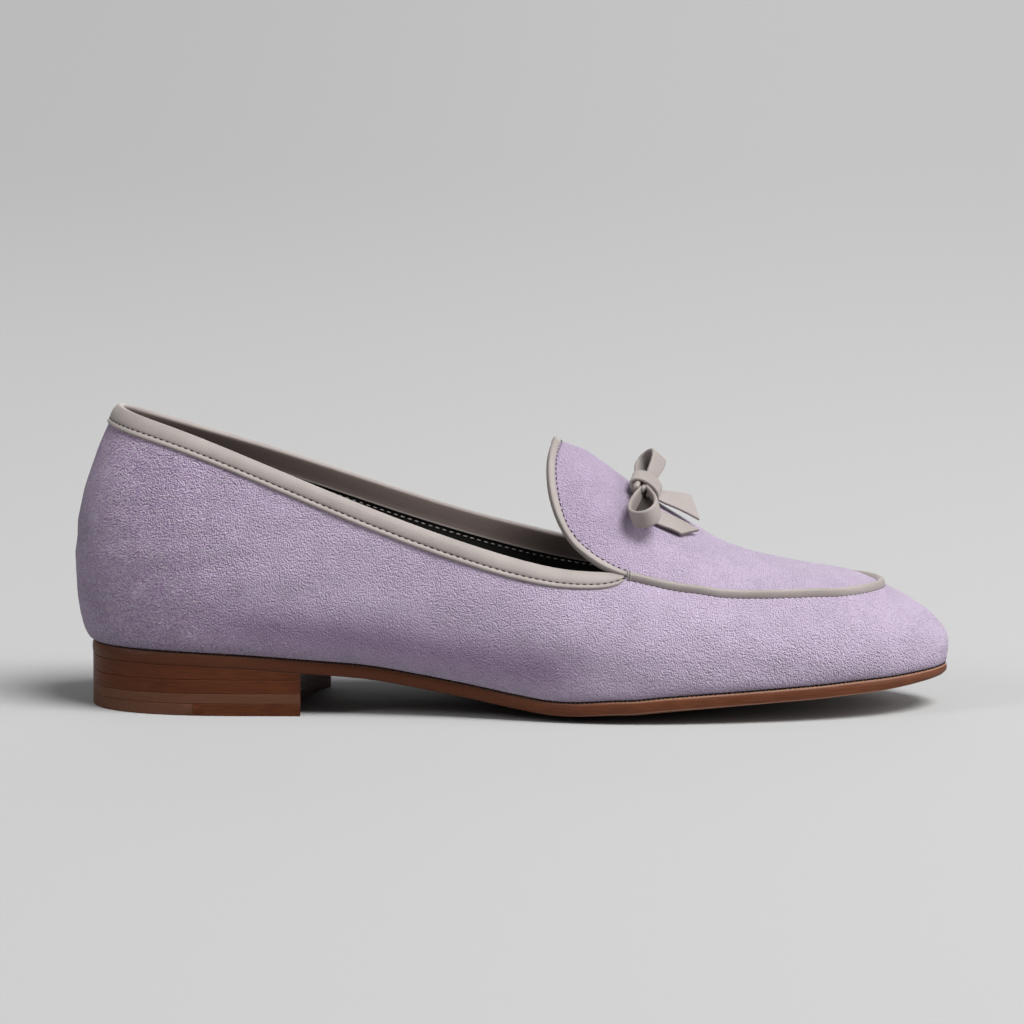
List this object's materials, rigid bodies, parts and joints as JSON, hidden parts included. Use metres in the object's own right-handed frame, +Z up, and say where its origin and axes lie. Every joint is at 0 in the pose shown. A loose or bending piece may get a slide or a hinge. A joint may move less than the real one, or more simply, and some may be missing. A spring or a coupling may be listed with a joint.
{
  "type": "loafer",
  "caption": "Right-foot slip-on loafer in lilac suede with taupe leather binding, apron piping, a small ribbon bow and a low stacked leather heel",
  "frame": {"origin": "on the floor, at the middle of the length and of the width of the shoe", "axes": "+X points to the toe, +Y to the medial side (the inner side of a right foot), +Z up from the floor"},
  "size_m": [0.26, 0.085, 0.0896],
  "materials": {
    "suede": "lilac suede with a short nap",
    "taupe_leather": "taupe grained leather, soft sheen",
    "lining": "near-black leather lining",
    "sole_leather": "brown stained sole leather, edges waxed",
    "heel_rubber": "dark brown rubber"
  },
  "bodies": {
    "root": {"upper": "suede", "collar_binding": "taupe_leather", "tongue_binding": "taupe_leather", "apron_piping": "taupe_leather", "bow_knot": "taupe_leather", "bow_loop_lateral": "taupe_leather", "bow_loop_medial": "taupe_leather", "bow_tail_lateral": "taupe_leather", "bow_tail_medial": "taupe_leather", "insole": "lining", "outsole": "sole_leather", "heel_lift_upper": "sole_leather", "heel_lift_middle": "sole_leather", "heel_lift_lower": "sole_leather", "heel_top_front": "sole_leather", "heel_top_rear": "heel_rubber"}
  },
  "joints": []
}
